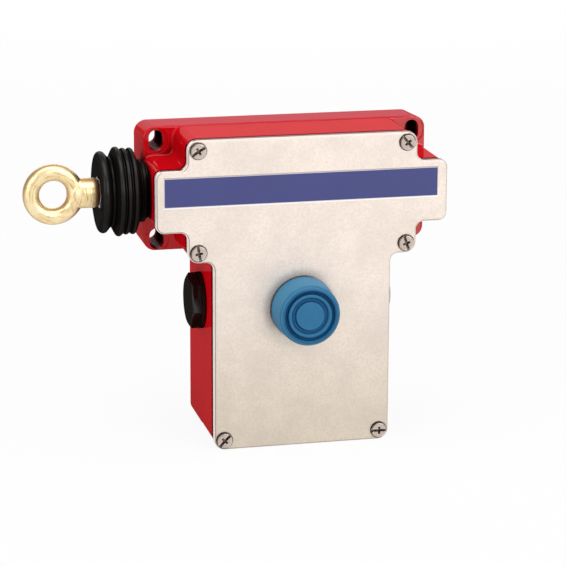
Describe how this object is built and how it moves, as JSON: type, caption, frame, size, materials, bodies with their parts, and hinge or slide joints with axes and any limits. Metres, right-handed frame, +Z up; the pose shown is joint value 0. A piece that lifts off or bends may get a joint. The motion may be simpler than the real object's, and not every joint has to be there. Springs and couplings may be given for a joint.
{
  "type": "rope pull switch",
  "caption": "T-shaped safety switch with a pull rod and eye leaving through a bellows, a spring cam mechanism, a reset button in its cover and plugged cable entries.",
  "frame": {"origin": "on the wall face, midway between the four fixing slots", "axes": "+Y out of the wall face into the wall, the front looks along -Y; +Z up; +X to the right seen from the front, so the eye points along -X"},
  "size_m": [0.1866, 0.072, 0.142],
  "materials": {
    "red_paint": "glossy",
    "cover_metal": "bead blasted satin",
    "nickel": "nickel plated",
    "steel": "bright zinc",
    "spring_steel": "bright",
    "yellow_chromate": "yellow passivated",
    "bronze": "satin",
    "black_rubber": "matte",
    "gasket_rubber": "matte",
    "blue_silicone": "satin",
    "blue_label": "satin print",
    "black_plastic": "satin moulded",
    "contact_plastic": "matte moulded",
    "white_plastic": "satin moulded",
    "red_plastic": "satin moulded"
  },
  "bodies": {
    "casing": {"housing": "red_paint", "front_cover": "cover_metal", "cover_gasket": "gasket_rubber", "cover_screws": "nickel", "label_strip": "blue_label", "button_boot": "blue_silicone", "button_bushing": "steel", "button_nut": "steel", "blanking_plug_left": "black_plastic", "blanking_plug_right": "black_plastic", "plug_seal_left": "gasket_rubber", "plug_seal_right": "gasket_rubber", "bellows": "black_rubber", "guide_bush_left": "bronze", "guide_bush_right": "bronze", "guide_bracket": "steel", "bracket_screws": "steel", "latch_pin": "steel", "carriage_spring": "spring_steel", "contact_plate": "steel", "contact_screws": "steel", "contact_block_left": "contact_plastic", "contact_block_right": "contact_plastic", "terminal_screws": "bronze", "earth_screw": "bronze", "earth_clamp": "bronze", "button_spring": "spring_steel", "rod_spring": "spring_steel"},
    "rod": {"pull_rod": "steel", "eye_bolt": "yellow_chromate", "lock_nut": "steel", "spring_collar": "steel", "collar_pin": "spring_steel", "trip_cam": "steel", "cam_pin": "spring_steel"},
    "carriage": {"trip_carriage": "white_plastic", "roller_pin": "steel"},
    "roller": {"follower_roller": "black_plastic"},
    "left_plunger": {"contact_plunger_left": "red_plastic"},
    "right_plunger": {"contact_plunger_right": "red_plastic"},
    "button": {"button_head": "white_plastic", "button_circlip": "spring_steel"},
    "latch": {"latch_lever": "steel"}
  },
  "joints": [
    {"name": "rod_pull", "type": "slide", "parent": "casing", "child": "rod", "axis": [-1, 0, 0], "range_m": [0, 0.008], "stiffness_N_per_m": 4000, "deforming": ["bellows", "rod_spring"]},
    {"name": "carriage_trip", "type": "slide", "parent": "casing", "child": "carriage", "axis": [0, 0, -1], "range_m": [0, 0.0024], "deforming": ["carriage_spring"]},
    {"name": "roller_turn", "type": "hinge", "parent": "carriage", "child": "roller", "pos_m": [0, -0.0295, -0.01198], "axis": [0, -1, 0], "range_deg": [0, 120]},
    {"name": "left_contact", "type": "slide", "parent": "casing", "child": "left_plunger", "axis": [0, 0, -1], "range_m": [0, 0.0024]},
    {"name": "right_contact", "type": "slide", "parent": "casing", "child": "right_plunger", "axis": [0, 0, -1], "range_m": [0, 0.0024]},
    {"name": "reset_push", "type": "slide", "parent": "casing", "child": "button", "axis": [0, 1, 0], "range_m": [0, 0.004], "stiffness_N_per_m": 1200, "deforming": ["button_boot", "button_spring"]},
    {"name": "latch_turn", "type": "hinge", "parent": "casing", "child": "latch", "pos_m": [0, -0.0405, -0.03308], "axis": [1, 0, 0], "range_deg": [0, 14.6]}
  ],
  "couplings": [
    {"joint": "carriage_trip", "follows": "rod_pull", "ratio": 0.3},
    {"joint": "left_contact", "follows": "rod_pull", "ratio": 0.3},
    {"joint": "right_contact", "follows": "rod_pull", "ratio": 0.3},
    {"joint": "roller_turn", "follows": "rod_pull", "rad_per_m": 261.01},
    {"joint": "latch_turn", "follows": "reset_push", "rad_per_m": 63.598}
  ]
}
